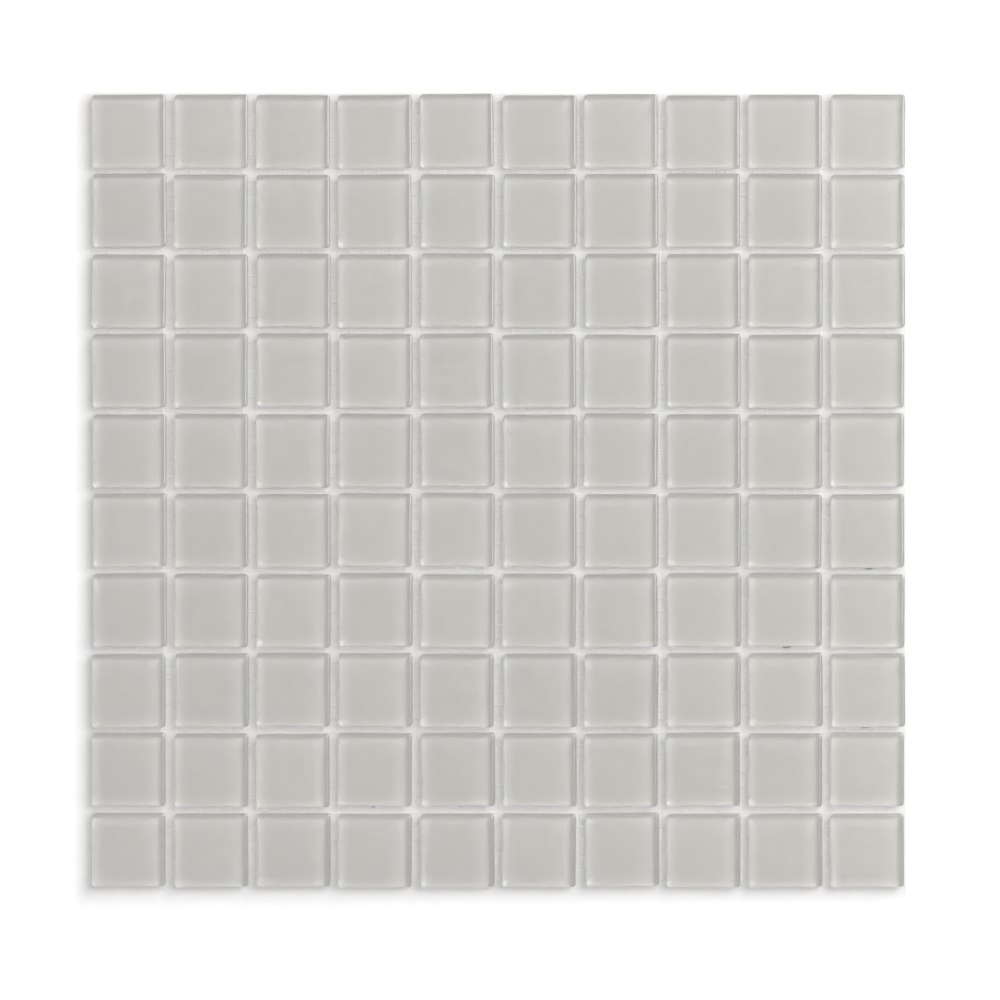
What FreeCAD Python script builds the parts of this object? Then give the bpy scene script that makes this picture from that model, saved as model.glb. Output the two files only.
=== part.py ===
# Glass mosaic tile sheet: square glass tiles laid in rows and bonded to a net of glass-fibre strands.
# The sheet lies flat with its face up. The origin is the middle of its underside, X runs along
# the rows, Y runs up the columns and Z points out of the face. Lengths are in millimetres.
import FreeCAD, Part
import math
import os
import random

# Glass tiles, with a rounded rim round the face and sides that lean in towards the back. Each quarter
# circle of a corner or of the rim is a few flats.
tile_side = 27.5
tile_thickness = 4.5
tile_corner_radius = 1.4
tile_rim_radius = 1.2
tile_back_inset = 0.5
corner_flats = 2
rim_flats = 3
columns = 10
rows = 10
joint_between_columns = 3.0
joint_between_rows = 2.2

# Laying by hand leaves each tile a little off its place: at most this far and this many degrees
laying_shift = 0.3
laying_turn = 0.5
laying_seed = 21

# Net: the long strands lie underneath, and the cross strands lie on them and carry the tiles
strand_spacing = 5.0
strand_width = 0.8
strand_thickness = 0.25
strand_overhang = 1.0

# Worked out from the sizes above
column_pitch = tile_side + joint_between_columns
row_pitch = tile_side + joint_between_rows
sheet_width = columns * column_pitch - joint_between_columns
sheet_height = rows * row_pitch - joint_between_rows
net_thickness = 2 * strand_thickness
quarter_turn = math.pi / 2
upward = FreeCAD.Vector(0, 0, 1)


def tile_outline(inset, height):
    """The corners of the tile's plan at one height, drawn in by the inset from its widest plan."""
    corner_middle = tile_side / 2 - tile_corner_radius
    radius = tile_corner_radius - inset
    points = []
    for corner in range(4):
        turn = FreeCAD.Rotation(upward, 90 * corner)
        for flat in range(corner_flats + 1):
            angle = quarter_turn * flat / corner_flats
            x = corner_middle + radius * math.cos(angle)
            y = corner_middle + radius * math.sin(angle)
            points.append(turn.multVec(FreeCAD.Vector(x, y, height)))
    return points


def flat_face(points):
    """A flat face with the given corners."""
    return Part.Face(Part.makePolygon(points + points[:1]))


def glass_tile():
    """One tile centred over the origin: its outline widens up the sides, then is drawn in round the rim."""
    outlines = [tile_outline(tile_back_inset, 0)]
    for flat in range(rim_flats + 1):
        angle = quarter_turn * flat / rim_flats
        inset = tile_rim_radius * (1 - math.cos(angle))
        drop = tile_rim_radius * (1 - math.sin(angle))
        outlines.append(tile_outline(inset, tile_thickness - drop))
    faces = [flat_face(outlines[0][::-1]), flat_face(outlines[-1])]
    for lower, upper in zip(outlines, outlines[1:]):
        for corner in range(len(lower)):
            faces.append(flat_face([lower[corner - 1], lower[corner], upper[corner], upper[corner - 1]]))
    return Part.makeSolid(Part.makeShell(faces))


def tile_place(row, column, chance):
    """Where one tile lies on the net, with its own small error of laying."""
    x = (column - (columns - 1) / 2) * column_pitch + chance.uniform(-laying_shift, laying_shift)
    y = (row - (rows - 1) / 2) * row_pitch + chance.uniform(-laying_shift, laying_shift)
    turn = FreeCAD.Rotation(upward, chance.uniform(-laying_turn, laying_turn))
    return FreeCAD.Placement(FreeCAD.Vector(x, y, net_thickness), turn)


def tile_row(row, chance):
    """The tiles of one row, as solids that don't touch each other."""
    tile = glass_tile()
    laid = []
    for column in range(columns):
        copy = tile.copy()
        copy.Placement = tile_place(row, column, chance)
        laid.append(copy)
    return Part.makeCompound(laid)


def strands_each_side(span):
    """How many strands fit on each side of the middle one, so that the net stays inside the sheet's edge."""
    reach = span / 2 - strand_width / 2 - strand_overhang
    return math.floor(reach / strand_spacing)


def strand_places(span):
    """Middles of the strands that lie side by side in a span, counted out from the centre of the net."""
    each_side = strands_each_side(span)
    return [step * strand_spacing for step in range(-each_side, each_side + 1)]


def strand_length(span):
    """Length of the strands along a span, which end just past the last ones that they cross."""
    return 2 * (strands_each_side(span) * strand_spacing + strand_width / 2 + strand_overhang)


def strand(length_x, length_y, x, y, z):
    """One flat strand, centred at x and y, with its underside at z."""
    bar = Part.makeBox(length_x, length_y, strand_thickness)
    bar.translate(FreeCAD.Vector(x - length_x / 2, y - length_y / 2, z))
    return bar


def long_strands():
    """The lower strands of the net, which run up the columns."""
    length = strand_length(sheet_height)
    return Part.makeCompound([strand(strand_width, length, x, 0, 0) for x in strand_places(sheet_width)])


def cross_strands():
    """The upper strands of the net, which run along the rows and lie on the long strands."""
    length = strand_length(sheet_width)
    return Part.makeCompound(
        [strand(length, strand_width, 0, y, strand_thickness) for y in strand_places(sheet_height)]
    )


def export(shape, node):
    """Writes one sub-part, and says what it holds."""
    shape.exportStep(f"parts/{node}.step")
    box = shape.BoundBox
    print(f"{node}: {len(shape.Solids)} solids, {box.XLength:.2f} x {box.YLength:.2f} x {box.ZLength:.2f} mm")


os.makedirs("parts", exist_ok=True)
laying = random.Random(laying_seed)
for row in range(rows):
    export(tile_row(row, laying), f"tile_row_{row + 1:02d}")
export(long_strands(), "net_long_strands")
export(cross_strands(), "net_cross_strands")
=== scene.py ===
# %% [markdown]
# # A sheet of glass mosaic
# The object is a square sheet of small glass tiles, ten by ten, held together from behind by a thin
# fibre net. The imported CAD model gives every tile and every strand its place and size. This script
# dresses it: clear glass with softly rounded rims, a warm grey coat on the back of each tile, and a
# net of real yarns. Every length is in metres, in the CAD model's own frame.
# %% Load the frame
import math
import random

import bmesh
import bpy
from mathutils import Matrix, Vector


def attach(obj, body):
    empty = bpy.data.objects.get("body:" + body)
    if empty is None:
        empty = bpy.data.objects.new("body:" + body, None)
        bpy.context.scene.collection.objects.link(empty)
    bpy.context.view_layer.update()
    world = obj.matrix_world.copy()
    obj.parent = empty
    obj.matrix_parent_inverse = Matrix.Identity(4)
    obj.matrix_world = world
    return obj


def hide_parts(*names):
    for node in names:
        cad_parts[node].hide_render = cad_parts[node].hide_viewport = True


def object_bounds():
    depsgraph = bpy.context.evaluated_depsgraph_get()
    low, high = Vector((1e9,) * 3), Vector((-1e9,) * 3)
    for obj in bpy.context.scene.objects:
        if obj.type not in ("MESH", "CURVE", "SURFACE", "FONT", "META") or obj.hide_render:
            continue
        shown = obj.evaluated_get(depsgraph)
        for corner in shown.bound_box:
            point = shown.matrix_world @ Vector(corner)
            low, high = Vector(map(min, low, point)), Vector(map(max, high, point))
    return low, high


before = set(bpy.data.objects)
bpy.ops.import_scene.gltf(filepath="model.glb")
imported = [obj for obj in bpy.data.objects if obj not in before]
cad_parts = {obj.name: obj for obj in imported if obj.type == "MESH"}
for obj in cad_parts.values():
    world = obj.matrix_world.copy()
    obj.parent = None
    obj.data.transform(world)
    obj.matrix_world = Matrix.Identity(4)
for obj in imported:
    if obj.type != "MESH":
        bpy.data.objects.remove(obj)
cad_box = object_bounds()
millimetre = 0.001
merge_distance = 0.001 * millimetre
level_tolerance = 0.01 * millimetre
scene = bpy.context.scene
tile_nodes = sorted(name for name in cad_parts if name.startswith("tile_row"))
print("rows of tiles:", len(tile_nodes), "and the sheet is", cad_box[1] - cad_box[0])

# %% [markdown]
# ## The camera
# The photograph looks straight down on the sheet from far away, so its grid of joints stays square to
# the picture's edges. A long lens from two metres up does the same. The width of the view comes from
# the spacing of the columns in the picture. The sheet's middle lies a little above and to the left of
# the picture's middle, so the camera stands a little below and to the right of it. The width holds at
# the height of the tiles' rims, where their outline is seen.
# %% Camera
view_width = 371.9 * millimetre
view_middle = Vector((0.56, -3.57, 0)) * millimetre
lens_mm = 200
sensor_mm = 36
rim_drop = 0.9 * millimetre
rim_height = cad_box[1].z - rim_drop

camera_data = bpy.data.cameras.new("camera")
camera_data.lens = lens_mm
camera_data.sensor_width = sensor_mm
camera = bpy.data.objects.new("camera", camera_data)
camera.location = view_middle + Vector((0, 0, rim_height + view_width * lens_mm / sensor_mm))
scene.collection.objects.link(camera)
scene.camera = camera
print("the camera stands", round(camera.location.z, 3), "m above the floor")


# %% [markdown]
# ## Helpers for the pieces
# A finished piece keeps its object at the origin and has its place in its mesh. It rides on the CAD
# model's only body, takes its materials, and hides the CAD node that it stands for. A CAD node holds
# several solids that don't touch, and walking from vertex to vertex along the edges sorts them out.
# %% Piece helpers
def add_piece(name, shape, materials, node=None):
    """Makes an object of a finished bmesh, which may stand for one CAD node."""
    mesh = bpy.data.meshes.new(name)
    shape.to_mesh(mesh)
    shape.free()
    for material in materials:
        mesh.materials.append(material)
    piece = bpy.data.objects.new(name, mesh)
    scene.collection.objects.link(piece)
    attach(piece, "root")
    if node:
        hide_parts(node)
    mesh.calc_loop_triangles()
    print(name, "has", len(mesh.loop_triangles), "triangles")
    return piece


def solids_of(node):
    """The solids of a CAD node, each as a list of its corners' places."""
    shape = bmesh.new()
    shape.from_mesh(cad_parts[node].data)
    bmesh.ops.remove_doubles(shape, verts=shape.verts, dist=merge_distance)
    unseen = set(shape.verts)
    solids = []
    for start in shape.verts:
        if start not in unseen:
            continue
        unseen.remove(start)
        front = [start]
        solid = []
        while front:
            vertex = front.pop()
            solid.append(vertex.co.copy())
            for edge in vertex.link_edges:
                other = edge.other_vert(vertex)
                if other in unseen:
                    unseen.remove(other)
                    front.append(other)
        solids.append(solid)
    shape.free()
    return solids


# %% [markdown]
# ## Helpers for the materials
# Every finish starts from the Principled shader. A small helper adds a node and joins its inputs, which
# keeps each material's recipe short enough to read.
# %% Material helpers
def new_material(name):
    """A material with a Principled shader, with its node tree."""
    material = bpy.data.materials.new(name)
    material.use_nodes = True
    return material, material.node_tree, material.node_tree.nodes["Principled BSDF"]


def add_node(tree, kind, inputs, **settings):
    """Adds a node, sets or links its inputs by name or number, and gives it back."""
    node = tree.nodes.new(kind)
    for name, value in settings.items():
        setattr(node, name, value)
    for name, value in inputs.items():
        if isinstance(value, bpy.types.NodeSocket):
            tree.links.new(value, node.inputs[name])
        else:
            node.inputs[name].default_value = value
    return node


def object_place(tree):
    """Where a point lies in its object, in metres."""
    return add_node(tree, "ShaderNodeTexCoord", {}).outputs["Object"]


# %% [markdown]
# ## Unevenness
# Nothing that is sprayed, melted or painted is perfectly even. One node group gives that slow drift to
# the coat, the glass and the floor, and on a smaller scale it gives the crumbs their grain: soft noise
# of a chosen size, put out as a value between two limits. A group like this is built once, and each
# material then sets its own size and limits.
# %% Unevenness group
noise_low = 0.3
noise_high = 0.7
noise_detail = 3.0
noise_roughness = 0.5


def unevenness_group():
    """A slow drift between two values over patches of a given size in metres."""
    tree = bpy.data.node_groups.new("unevenness", "ShaderNodeTree")
    tree.interface.new_socket("Place", in_out="INPUT", socket_type="NodeSocketVector")
    for name in ("Patch Size", "Low", "High"):
        tree.interface.new_socket(name, in_out="INPUT", socket_type="NodeSocketFloat")
    tree.interface.new_socket("Value", in_out="OUTPUT", socket_type="NodeSocketFloat")
    given = tree.nodes.new("NodeGroupInput").outputs
    patches = add_node(tree, "ShaderNodeMath", {0: 1.0, 1: given["Patch Size"]}, operation="DIVIDE")
    noise = add_node(tree, "ShaderNodeTexNoise", {
        "Vector": given["Place"], "Scale": patches.outputs[0],
        "Detail": noise_detail, "Roughness": noise_roughness})
    spread = add_node(tree, "ShaderNodeMapRange", {
        "Value": noise.outputs["Fac"], "From Min": noise_low, "From Max": noise_high,
        "To Min": given["Low"], "To Max": given["High"]})
    result = tree.nodes.new("NodeGroupOutput")
    tree.links.new(spread.outputs["Result"], result.inputs["Value"])
    return tree


unevenness = unevenness_group()


def uneven(tree, patch_size, low, high):
    """Places the unevenness group in a material and gives its value."""
    node = add_node(tree, "ShaderNodeGroup", {}, node_tree=unevenness)
    tree.links.new(object_place(tree), node.inputs["Place"])
    node.inputs["Patch Size"].default_value = patch_size
    node.inputs["Low"].default_value = low
    node.inputs["High"].default_value = high
    return node.outputs["Value"]


print("group:", unevenness.name)


# %% [markdown]
# ## Clear glass
# The tiles are pressed from clear glass, and their rims and faces are melted smooth in the kiln. What the
# photograph shows of them is all light inside the glass: light that comes in through the face and
# meets a side wall is thrown back, so a tile has a bright band on the side away from the light and a
# dark one towards it. Real refraction gives this by itself, so the glass is plain Principled with full
# transmission. The melting leaves the face very slightly wavy, which a faint bump gives. The side walls
# lay against the mould and stay a little frosted, which makes the bands soft. The upright corners are
# frosted more, or they would gather the light in a bright spot, which the real tiles don't show. The
# rim is the glossiest part, with a thin bright line where it faces the light, and a clear coat on it
# gives that.
# %% Glass
glass_colour = (0.975, 0.98, 0.975, 1)
glass_index = 1.5
polished = (0.02, 0.05)
frosted = (0.25, 0.35)
frosted_more = (0.65, 0.75)
haze_patch = 9 * millimetre
ripple_length = 6 * millimetre
ripple_height = 0.002 * millimetre
ripple_strength = 0.2
rim_index = 1.8
rim_roughness = 0.03


def glass_material(name, roughness):
    """Clear glass, whose roughness drifts between two values."""
    material, tree, shader = new_material(name)
    shader.inputs["Base Color"].default_value = glass_colour
    shader.inputs["Transmission Weight"].default_value = 1
    shader.inputs["IOR"].default_value = glass_index
    tree.links.new(uneven(tree, haze_patch, *roughness), shader.inputs["Roughness"])
    ripple = uneven(tree, ripple_length, 0, 1)
    bump = add_node(tree, "ShaderNodeBump", {
        "Height": ripple, "Strength": ripple_strength, "Distance": ripple_height})
    tree.links.new(bump.outputs["Normal"], shader.inputs["Normal"])
    return material


glass = glass_material("clear_glass", polished)
ground_glass = glass_material("ground_glass", frosted)
corner_glass = glass_material("corner_glass", frosted_more)
rim_glass = glass_material("rim_glass", polished)
rim_shader = rim_glass.node_tree.nodes["Principled BSDF"]
rim_shader.inputs["Coat Weight"].default_value = 1
rim_shader.inputs["Coat IOR"].default_value = rim_index
rim_shader.inputs["Coat Roughness"].default_value = rim_roughness
print("materials:", glass.name, ground_glass.name, corner_glass.name, rim_glass.name)


# %% [markdown]
# ## The coat on the back
# The colour of such a tile is a coat sprayed on its back and seen through the glass. Light that the coat
# scatters is partly held in by the glass, so the coat has to be paler than the tile looks. Each tile
# is sprayed by itself and differs a little from its neighbours: the place, counted from the sheet's
# corner, is snapped to the tile's own cell of the grid, and a random number for each cell moves the
# tone by a percent or so.
# %% Coat
column_pitch = 30.5 * millimetre
row_pitch = 29.7 * millimetre
half_the_tiles = 5
coat_colour = (0.80, 0.791, 0.762)
coat_roughness = 0.9
tone_spread = 0.012
spray_patch = 5 * millimetre
spray_spread = 0.01


def coat_material():
    """The warm grey coat on the back of each tile."""
    material, tree, shader = new_material("back_coat")
    place = add_node(tree, "ShaderNodeVectorMath", {
        0: object_place(tree),
        1: (half_the_tiles * column_pitch, half_the_tiles * row_pitch, 0)}, operation="ADD")
    cell = add_node(tree, "ShaderNodeVectorMath", {
        0: place.outputs["Vector"], 1: (column_pitch, row_pitch, 1)}, operation="DIVIDE")
    whole = add_node(tree, "ShaderNodeVectorMath", {0: cell.outputs["Vector"]}, operation="FLOOR")
    chance = add_node(tree, "ShaderNodeTexWhiteNoise", {"Vector": whole.outputs["Vector"]})
    tone = add_node(tree, "ShaderNodeMapRange", {
        "Value": chance.outputs["Value"], "To Min": 1 - tone_spread, "To Max": 1 + tone_spread})
    spray = uneven(tree, spray_patch, 1 - spray_spread, 1 + spray_spread)
    both = add_node(tree, "ShaderNodeMath", {0: tone.outputs["Result"], 1: spray}, operation="MULTIPLY")
    colour = add_node(tree, "ShaderNodeVectorMath", {
        0: coat_colour, "Scale": both.outputs[0]}, operation="SCALE")
    tree.links.new(colour.outputs["Vector"], shader.inputs["Base Color"])
    shader.inputs["Roughness"].default_value = coat_roughness
    shader.inputs["Specular IOR Level"].default_value = 0
    return material


coat = coat_material()
print("material:", coat.name)


# %% [markdown]
# ## Glass-fibre yarn
# The net is laid crosswise from white glass-fibre yarns with a soft binder on them. A yarn is a bundle of
# fibres that run along it, so its streaks are noise that is stretched along the yarn: many changes in
# a metre across it, few along it. The long yarns and the cross yarns run in different directions, so
# each has its own material from the same recipe.
# %% Yarn
yarn_shade = (0.95, 0.95, 0.94, 1)
yarn_white = (0.99, 0.99, 0.98, 1)
yarn_roughness = 0.75
yarn_gloss = 0.3
yarn_bump = 0.1
fibre_depth = 0.03 * millimetre
streaks_along = 250
streaks_across = 9000
streak_detail = 2.0


def yarn_material(name, changes):
    """White fibres, with the number of times that their streaks change in a metre of x, y and z."""
    material, tree, shader = new_material(name)
    stretched = add_node(tree, "ShaderNodeMapping", {"Vector": object_place(tree), "Scale": changes})
    streaks = add_node(tree, "ShaderNodeTexNoise", {
        "Vector": stretched.outputs["Vector"], "Scale": 1.0, "Detail": streak_detail})
    tone = add_node(tree, "ShaderNodeMix", {
        "Factor": streaks.outputs["Fac"], "A": yarn_shade, "B": yarn_white}, data_type="RGBA")
    tree.links.new(tone.outputs["Result"], shader.inputs["Base Color"])
    bump = add_node(tree, "ShaderNodeBump", {
        "Height": streaks.outputs["Fac"], "Strength": yarn_bump, "Distance": fibre_depth})
    tree.links.new(bump.outputs["Normal"], shader.inputs["Normal"])
    shader.inputs["Roughness"].default_value = yarn_roughness
    shader.inputs["Specular IOR Level"].default_value = yarn_gloss
    return material


long_yarn = yarn_material("long_yarn", (streaks_across, streaks_along, streaks_across))
cross_yarn = yarn_material("cross_yarn", (streaks_along, streaks_across, streaks_across))
print("materials:", long_yarn.name, cross_yarn.name)


# %% [markdown]
# ## The block of a tile
# A pressed tile is a square block with rounded upright corners, a rim that is rounded off towards the
# face, and sides that lean in towards the back. The cube operator gives the block, and scaling its
# lower corners leans the sides in. One bevel rounds the four upright edges, a second one the loop of
# edges round the face, and a third one takes the sharpness off the back's edges. The block is a hair
# thinner than the CAD model's tile, so that its coat doesn't touch the yarns.
# %% Block and bevels
tile_side = 27.5 * millimetre
tile_thickness = 4.5 * millimetre
tile_lift = 0.02 * millimetre
corner_radius = 1.4 * millimetre
rim_radius = 1.2 * millimetre
back_inset = 0.5 * millimetre
back_chamfer = 0.1 * millimetre
corner_segments = 4
rim_segments = 4


def level_edges(shape, height):
    """The edges that lie level at one height."""
    return [edge for edge in shape.edges
            if all(abs(end.co.z - height) < level_tolerance for end in edge.verts)]


def leaning_block(height):
    """A block that is as wide as the tile where its rim begins, and narrower at the back."""
    shape = bmesh.new()
    bmesh.ops.create_cube(shape, size=1)
    lean = back_inset / (height - rim_radius)
    widest = tile_side + 2 * lean * rim_radius
    bmesh.ops.scale(shape, verts=shape.verts, vec=(widest, widest, height))
    bmesh.ops.translate(shape, verts=shape.verts, vec=(0, 0, height / 2))
    lower = [vertex for vertex in shape.verts if vertex.co.z < height / 2]
    taper = 1 - 2 * lean * height / widest
    bmesh.ops.scale(shape, verts=lower, vec=(taper, taper, 1))
    return shape


def bevel(shape, edges, offset, segments):
    """Rounds edges, or takes their sharpness off where there is one segment."""
    bmesh.ops.bevel(shape, geom=edges, offset=offset, segments=segments,
                    profile=0.5, affect="EDGES", material=-1)


def rounded_block(height):
    """A tile's block with its corners, its rim and the edges of its back bevelled."""
    shape = leaning_block(height)
    upright = [edge for edge in shape.edges if abs(edge.verts[0].co.z - edge.verts[1].co.z) > height / 2]
    bevel(shape, upright, corner_radius, corner_segments)
    bevel(shape, level_edges(shape, height), rim_radius, rim_segments)
    bevel(shape, level_edges(shape, 0), back_chamfer, 1)
    return shape


print("a tile is", tile_side / millimetre, "mm square")


# %% [markdown]
# ## The faces of a tile
# Smooth shading bends the light over a whole face from the tilt of its corners, so a narrow inset
# frames the flat face, and a few cuts guard the flat sides, which then throw the light back as flat
# glass does. The back keeps sharp edges and carries the coat as one of the tile's materials, because
# coat and glass are one body: a separate sheet of paint would leave air between them. The way that a
# face looks says what it is. One that stands steeply is frosted wall, or corner where it looks askew
# of x and y, and one that slopes is glossy rim.
# %% Tile
guard = 0.05 * millimetre
level = 0.99
steep = 0.2
askew = 0.1
face_kind, back_kind, wall_kind, rim_kind, corner_kind = range(5)
tile_materials = [glass, coat, ground_glass, rim_glass, corner_glass]


def cut_guards(shape, height):
    """Cuts the sides a little way from their edges, so that smooth shading leaves them flat."""
    straight = tile_side / 2 - back_inset - corner_radius - guard
    level_cuts = [(0, 0, back_chamfer + guard), (0, 0, height - rim_radius - guard)]
    upright_cuts = [(straight, 0, 0), (-straight, 0, 0), (0, straight, 0), (0, -straight, 0)]
    for place in level_cuts + upright_cuts:
        bmesh.ops.bisect_plane(shape, geom=shape.verts[:] + shape.edges[:] + shape.faces[:],
                               plane_co=place, plane_no=place)


def kind_of_face(normal):
    """Which of the tile's materials a face takes, by the way it looks."""
    if normal.z < -level:
        return back_kind
    if abs(normal.z) < steep:
        return corner_kind if min(abs(normal.x), abs(normal.y)) > askew else wall_kind
    return rim_kind if normal.z < level else face_kind


def tile_shape():
    """One tile over the origin, with its back on the plane z = 0."""
    height = tile_thickness - tile_lift
    shape = rounded_block(height)
    front = max(shape.faces, key=lambda face: face.normal.z * face.calc_area())
    bmesh.ops.inset_region(shape, faces=[front], thickness=guard)
    cut_guards(shape, height)
    for face in shape.faces:
        face.material_index = kind_of_face(face.normal)
        face.smooth = face.material_index != back_kind
        if not face.smooth:
            for edge in face.edges:
                edge.smooth = False
    return shape


tile_mesh = bpy.data.meshes.new("tile")
pattern = tile_shape()
print("one tile has", len(pattern.faces), "faces")
pattern.to_mesh(tile_mesh)
pattern.free()


# %% [markdown]
# ## The rows of tiles
# Tiles are laid on the net in a jig and end up a little off their places. The CAD model has that in it,
# so each tile's middle and turn are read from its solid. The middle is that of its back's corners. For
# the turn, each corner's place is taken as a complex number: its fourth power turns four times
# as fast as the tile, so that all the corners agree and can be added up. One row of ten tiles is one
# piece, as it is one node of the CAD model.
# %% Rows
def tile_places(node):
    """The middle of each tile's back in one row, with the tile's turn, read from the CAD node."""
    places = []
    for corners in solids_of(node):
        base = min(corner.z for corner in corners)
        outline = [corner for corner in corners if corner.z < base + level_tolerance]
        middle = sum(outline, Vector()) / len(outline)
        fourth = sum(complex(corner.x - middle.x, corner.y - middle.y) ** 4 for corner in outline)
        turn = math.atan2(-fourth.imag, -fourth.real) / 4
        places.append((middle, turn))
    return sorted(places, key=lambda place: place[0].x)


for node in tile_nodes:
    row_shape = bmesh.new()
    for middle, turn in tile_places(node):
        first = len(row_shape.verts)
        row_shape.from_mesh(tile_mesh)
        row_shape.verts.ensure_lookup_table()
        place = Matrix.Translation(middle + Vector((0, 0, tile_lift))) @ Matrix.Rotation(turn, 4, "Z")
        bmesh.ops.transform(row_shape, matrix=place, verts=row_shape.verts[first:])
    add_piece(node.replace("tile_row", "glass_row"), row_shape, tile_materials, node)


# %% [markdown]
# ## The net's yarns
# The CAD model has each strand of the net as a flat bar. A real yarn is flat below and domed above. It
# wavers a little from side to side, and the binder spreads and thickens it where it crosses another.
# Each yarn starts as an eight-sided rod from the cone operator, which is cut across twice for each
# crossing. The edges of its flat underside are kept sharp, or smooth shading would darken its sides.
# %% Rod
yarn_width = 0.8 * millimetre
yarn_height = 0.24 * millimetre
yarn_sides = 8
crossing_spacing = 5.0 * millimetre


def rod_mesh(length):
    """A straight rod along x, cut across twice for each crossing."""
    shape = bmesh.new()
    bmesh.ops.create_cone(shape, cap_ends=True, segments=yarn_sides, radius1=0.5, radius2=0.5, depth=1)
    bmesh.ops.rotate(shape, verts=shape.verts, cent=(0, 0, 0), matrix=Matrix.Rotation(math.pi / 2, 3, "Y"))
    bmesh.ops.scale(shape, verts=shape.verts, vec=(length, yarn_width, yarn_height))
    sides = [edge for edge in shape.edges if edge.calc_length() > length / 2]
    crossings = round(length / crossing_spacing)
    bmesh.ops.subdivide_edges(shape, edges=sides, cuts=2 * crossings, use_grid_fill=True)
    for face in shape.faces:
        face.smooth = len(face.verts) == 4
    for edge in shape.edges:
        edge.smooth = any(abs(end.co.z) > level_tolerance for end in edge.verts)
    mesh = bpy.data.meshes.new("rod")
    shape.to_mesh(mesh)
    shape.free()
    return mesh


print("a yarn is", yarn_width / millimetre, "mm wide")


# %% [markdown]
# ## Laying the yarns
# A rod becomes a yarn when its points are moved: the lower ones down to one level, the upper ones into
# a dome that sinks between crossings, and all of them sideways by two slow waves that differ from yarn
# to yarn. The waves' lengths count in crossings. The cross yarns climb over the long ones where they
# meet and lie down on the floor in between. Each yarn goes where its strand lies in the CAD model.
# %% Net
between_height = 0.15
crossing_spread = 1.1
between_spread = 1.0
waver = 0.12 * millimetre
long_wave = 3.1
short_wave = 1.3
seed = 7
chance = random.Random(seed)


def shape_yarn(points, climb):
    """Spreads a rod where it crosses others, flattens it in between, makes it climb and waver."""
    long_start, short_start = (chance.uniform(0, 2 * math.pi) for wave in range(2))
    for point in points:
        at = point.co.x / crossing_spacing
        swell = 0.5 + 0.5 * math.cos(2 * math.pi * at)
        point.co.y *= between_spread + (crossing_spread - between_spread) * swell
        point.co.y += waver * math.sin(at / long_wave + long_start)
        point.co.y += waver / 2 * math.sin(at / short_wave + short_start)
        dome = (max(point.co.z, 0) * 2 / yarn_height) ** 2
        point.co.z = yarn_height * dome * (between_height + (1 - between_height) * swell) + climb * swell


def add_net(name, node, material, turn, climb):
    """Makes all the yarns of one direction as one piece, which climb by a height where they cross others."""
    strands = solids_of(node)
    reach = max(corner.y if turn else corner.x for corner in strands[0])
    rod = rod_mesh(2 * reach)
    shape = bmesh.new()
    for corners in strands:
        middle = sum(corners, Vector()) / len(corners)
        first = len(shape.verts)
        shape.from_mesh(rod)
        shape.verts.ensure_lookup_table()
        points = shape.verts[first:]
        shape_yarn(points, climb)
        place = Matrix.Translation((middle.x, middle.y, 0)) @ Matrix.Rotation(turn, 4, "Z")
        bmesh.ops.transform(shape, matrix=place, verts=points)
    add_piece(name, shape, [material], node)


add_net("long_yarns", "net_long_strands", long_yarn, math.pi / 2, 0)
add_net("cross_yarns", "net_cross_strands", cross_yarn, 0, yarn_height)


# %% [markdown]
# ## Crumbs in the joints
# The photograph shows a few dark specks, each a few millimetres long, in the joints under the middle of a
# tile's lower side: crumbs that were caught there when the sheet was glued. Each lies on the net
# against the glass. The icosphere operator gives a crumb, which is made uneven by moving every point in or
# out by chance, and stretched to its size. The list gives the crumb's row and its column, counted from 0,
# and then in millimetres how far it lies from the middle of the tile's side, its length, its depth and
# its height.
# %% Crumbs
crumb_sizes = (
    ("tile_row_05", 9, 0.7, 3.2, 1.1, 1.2),
    ("tile_row_05", 9, -2.3, 2.6, 0.5, 0.5),
    ("tile_row_04", 8, 0.7, 3.4, 1.3, 1.0),
    ("tile_row_03", 9, -1.0, 4.2, 0.9, 1.1),
    ("tile_row_02", 4, 1.0, 2.0, 0.9, 0.6),
    ("tile_row_02", 3, -0.6, 2.0, 1.1, 0.5),
)
crumb_base = 0.15 * millimetre
crumb_roughness = 0.12
grain_size = 0.4 * millimetre
grit_dark = (0.38, 0.375, 0.35, 1)
grit_pale = (0.55, 0.545, 0.52, 1)
grit_roughness = 0.9


def crumb_material():
    """Dark grey grit with paler grains in it."""
    material, tree, shader = new_material("grit")
    grain = uneven(tree, grain_size, 0, 1)
    tone = add_node(tree, "ShaderNodeMix", {
        "Factor": grain, "A": grit_dark, "B": grit_pale}, data_type="RGBA")
    tree.links.new(tone.outputs["Result"], shader.inputs["Base Color"])
    shader.inputs["Roughness"].default_value = grit_roughness
    return material


def add_crumbs():
    """Makes all the crumbs as one piece."""
    shape = bmesh.new()
    for node, column, along, *size in crumb_sizes:
        length, depth, height = (value * millimetre for value in size)
        middle, turn = tile_places(node)[column]
        points = bmesh.ops.create_icosphere(shape, subdivisions=2, radius=0.5)["verts"]
        for point in points:
            point.co *= 1 + chance.uniform(-crumb_roughness, crumb_roughness)
        bmesh.ops.scale(shape, verts=points, vec=(length, depth, height))
        wall = tile_side / 2 - back_inset
        offset = Vector((along * millimetre, -wall - depth / 2, crumb_base + height / 2))
        place = Matrix.Translation((middle.x, middle.y, 0)) @ Matrix.Rotation(turn, 4, "Z")
        bmesh.ops.transform(shape, matrix=place @ Matrix.Translation(offset), verts=points)
    for face in shape.faces:
        face.smooth = True
    add_piece("joint_crumbs", shape, [crumb_material()])


add_crumbs()


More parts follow.
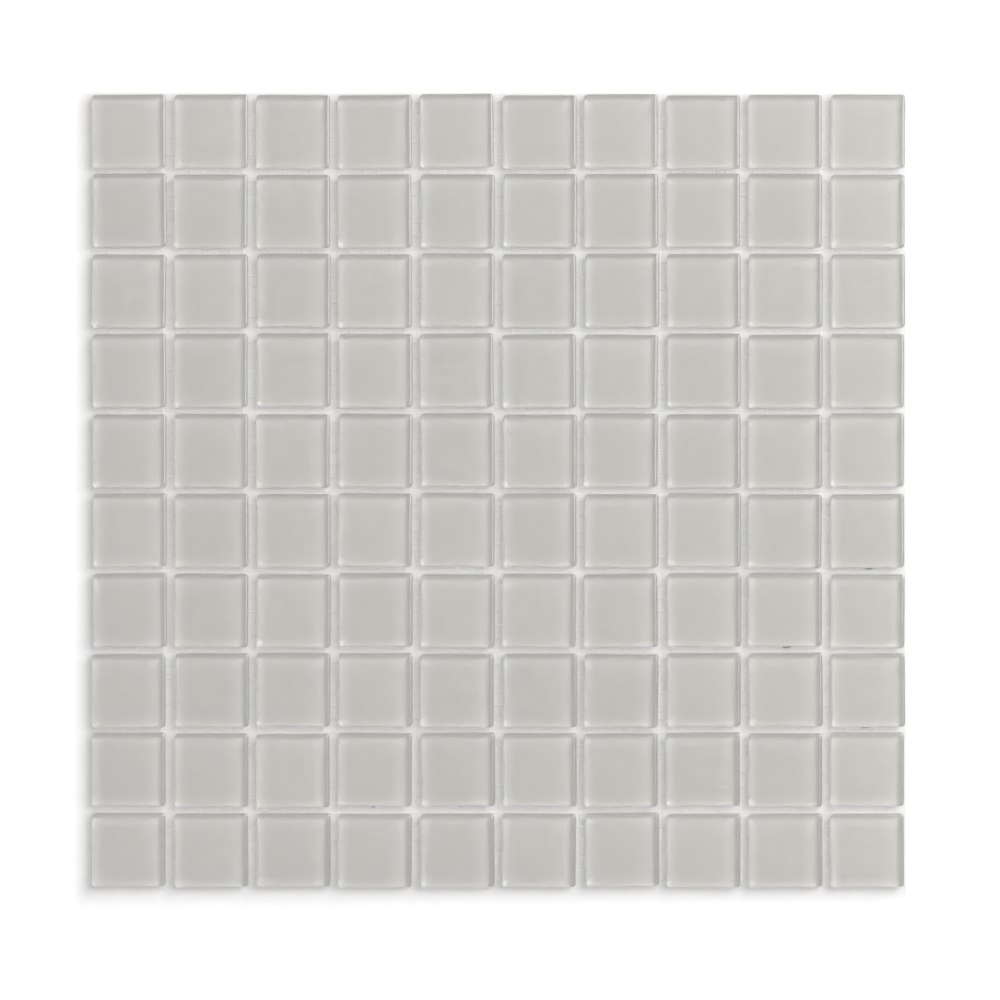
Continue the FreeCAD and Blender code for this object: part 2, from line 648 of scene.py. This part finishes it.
# %% [markdown]
# ## The floor's paint
# The sheet lies on a white floor with a matt paint that is faintly blotched. Outside the sheet, the
# camera sees the floor a little brighter than it is lit, by itself and through the glass. That turns
# the open floor to the photograph's plain white, and as it is only for the eye, it stops where the
# light has already met something matt. Between the tiles the floor is as bright as it is lit. The
# brightening grows with a point's distance outside the sheet, the larger of those along x and y:
# quickly to the right and above, and slowly to the left and below, where the shadow stays. The floor
# isn't a lamp, so Cycles is told not to spend samples on it as one.
# %% Floor paint
floor_white = 0.96
blotch = 0.025
blotch_size = 4 * millimetre
floor_lift = 0.27
lift_run = 8.0 * millimetre
shadow_sides = (-1.0, -0.75, 0)
lit_sides = (6.0, 6.0, 0)


def floor_material():
    """Matt white, a little brighter to the camera outside the sheet than it is lit."""
    material, tree, shader = new_material("white_floor")
    tone = uneven(tree, blotch_size, floor_white - blotch, floor_white + blotch)
    colour = add_node(tree, "ShaderNodeCombineColor", {"Red": tone, "Green": tone, "Blue": tone})
    tree.links.new(colour.outputs["Color"], shader.inputs["Base Color"])
    shader.inputs["Roughness"].default_value = 1
    shader.inputs["Specular IOR Level"].default_value = 0
    away = []
    for sides, corner in ((shadow_sides, cad_box[0]), (lit_sides, cad_box[1])):
        past = add_node(tree, "ShaderNodeVectorMath", {
            0: object_place(tree), 1: corner}, operation="SUBTRACT")
        away.append(add_node(tree, "ShaderNodeVectorMath", {
            0: past.outputs["Vector"], 1: sides}, operation="MULTIPLY").outputs["Vector"])
    outside = add_node(tree, "ShaderNodeVectorMath", {0: away[0], 1: away[1]}, operation="MAXIMUM")
    sides = add_node(tree, "ShaderNodeSeparateXYZ", {"Vector": outside.outputs["Vector"]}).outputs
    furthest = add_node(tree, "ShaderNodeMath", {0: sides["X"], 1: sides["Y"]}, operation="MAXIMUM")
    # Painted light: the floor glows for the eye outside the sheet. This paints out the sheet's shade to the
    # right and above, and paints its shadow on the left and below lighter further out.
    lift = add_node(tree, "ShaderNodeMapRange", {
        "Value": furthest.outputs[0], "From Min": 0.0, "From Max": lift_run,
        "To Min": 0.0, "To Max": floor_lift})
    path = tree.nodes.new("ShaderNodeLightPath").outputs
    seen = add_node(tree, "ShaderNodeMath", {
        0: path["Is Camera Ray"], 1: path["Is Glossy Ray"]}, operation="MAXIMUM")
    seen_too = add_node(tree, "ShaderNodeMath", {
        0: seen.outputs[0], 1: path["Is Transmission Ray"]}, operation="MAXIMUM")
    direct = add_node(tree, "ShaderNodeMath", {0: path["Diffuse Depth"], 1: 1.0}, operation="LESS_THAN")
    for_eye = add_node(tree, "ShaderNodeMath", {
        0: seen_too.outputs[0], 1: direct.outputs[0]}, operation="MULTIPLY")
    strength = add_node(tree, "ShaderNodeMath", {
        0: for_eye.outputs[0], 1: lift.outputs["Result"]}, operation="MULTIPLY")
    shader.inputs["Emission Color"].default_value = (1, 1, 1, 1)
    tree.links.new(strength.outputs[0], shader.inputs["Emission Strength"])
    material.cycles.emission_sampling = "NONE"
    return material


floor_paint = floor_material()
print("material:", floor_paint.name)


# %% [markdown]
# ## The floor
# The floor is one flat square from the grid operator, wide enough to fill the picture from low angles
# too. It is only the stage that the sheet lies on, and not a piece of it.
# %% Floor
floor_size = 12.0

floor_shape = bmesh.new()
bmesh.ops.create_grid(floor_shape, x_segments=1, y_segments=1, size=floor_size / 2)
floor_mesh = bpy.data.meshes.new("floor")
floor_shape.to_mesh(floor_mesh)
floor_shape.free()
floor_mesh.materials.append(floor_paint)
floor = bpy.data.objects.new("floor", floor_mesh)
scene.collection.objects.link(floor)
print("floor:", floor_size, "m wide")

# %% [markdown]
# ## The light
# The photograph's shadow falls to the left and a little down, and is soft, so a tall and wide panel
# stands to the right and a little above. It draws the soft dark and bright bands under the rims, and
# the thin highlight along the right ones. The panel gives its share of the light on a level surface
# and the studio round it gives the rest. The two add up to one, at which a matt colour renders about
# as it is written.
# %% Light
light_distance = 2.2
panel_share = 0.48
panel_elevation = math.radians(43)
panel_azimuth = math.radians(31)
panel_width = 1.76
panel_height = 2.35


def add_light(name, elevation, azimuth, width, height, share):
    """An area light that gives its share of the light on a level surface at the sheet's middle."""
    toward = Vector((math.cos(elevation) * math.cos(azimuth),
                     math.cos(elevation) * math.sin(azimuth),
                     math.sin(elevation)))
    data = bpy.data.lights.new(name, "AREA")
    data.shape = "RECTANGLE"
    data.size = width
    data.size_y = height
    data.energy = share * (math.pi * light_distance) ** 2 / math.sin(elevation)
    light = bpy.data.objects.new(name, data)
    light.location = toward * light_distance
    light.rotation_mode = "QUATERNION"
    light.rotation_quaternion = toward.to_track_quat("Z", "Y")
    scene.collection.objects.link(light)
    print(name, "gives", round(data.energy, 2), "W")


add_light("panel", panel_elevation, panel_azimuth, panel_width, panel_height, panel_share)


# %% [markdown]
# ## The studio
# The rest of the light is white and comes from all round, dim at the horizon and bright overhead. Its
# strength follows a power of the height above the horizon. The strength overhead is worked out so that
# a level surface gets just the share that the panel leaves.
# %% Studio
horizon_strength = 0.3
sky_power = 4.0


def studio_world():
    """White light from all round, brighter overhead, that gives the rest of the light."""
    world = bpy.data.worlds.new("studio")
    world.use_nodes = True
    tree = world.node_tree
    direction = add_node(tree, "ShaderNodeTexCoord", {}).outputs["Generated"]
    height = add_node(tree, "ShaderNodeSeparateXYZ", {"Vector": direction}).outputs["Z"]
    ramp = add_node(tree, "ShaderNodeMath", {0: height, 1: sky_power}, operation="POWER")
    rest = 1 - panel_share
    overhead = ((sky_power + 2) * rest - sky_power * horizon_strength) / 2
    strength = add_node(tree, "ShaderNodeMapRange", {
        "Value": ramp.outputs[0], "To Min": horizon_strength, "To Max": overhead})
    background = tree.nodes["Background"]
    background.inputs["Color"].default_value = (1, 1, 1, 1)
    tree.links.new(strength.outputs["Result"], background.inputs["Strength"])
    print("the studio is", round(overhead, 2), "bright overhead and", horizon_strength, "at the horizon")
    return world


scene.world = studio_world()

# %% [markdown]
# ## Light inside the glass
# To save work, Cycles blurs what clear glass does once the light has been scattered by a matt surface.
# Here that would blur away the thin bright and dark bands under the rims, which are most of what the
# eye knows this glass by, so the blur is set to nothing. The colours are shown as they are, with no
# film look.
# %% Finish
scene.cycles.blur_glossy = 0
scene.view_settings.view_transform = "Standard"
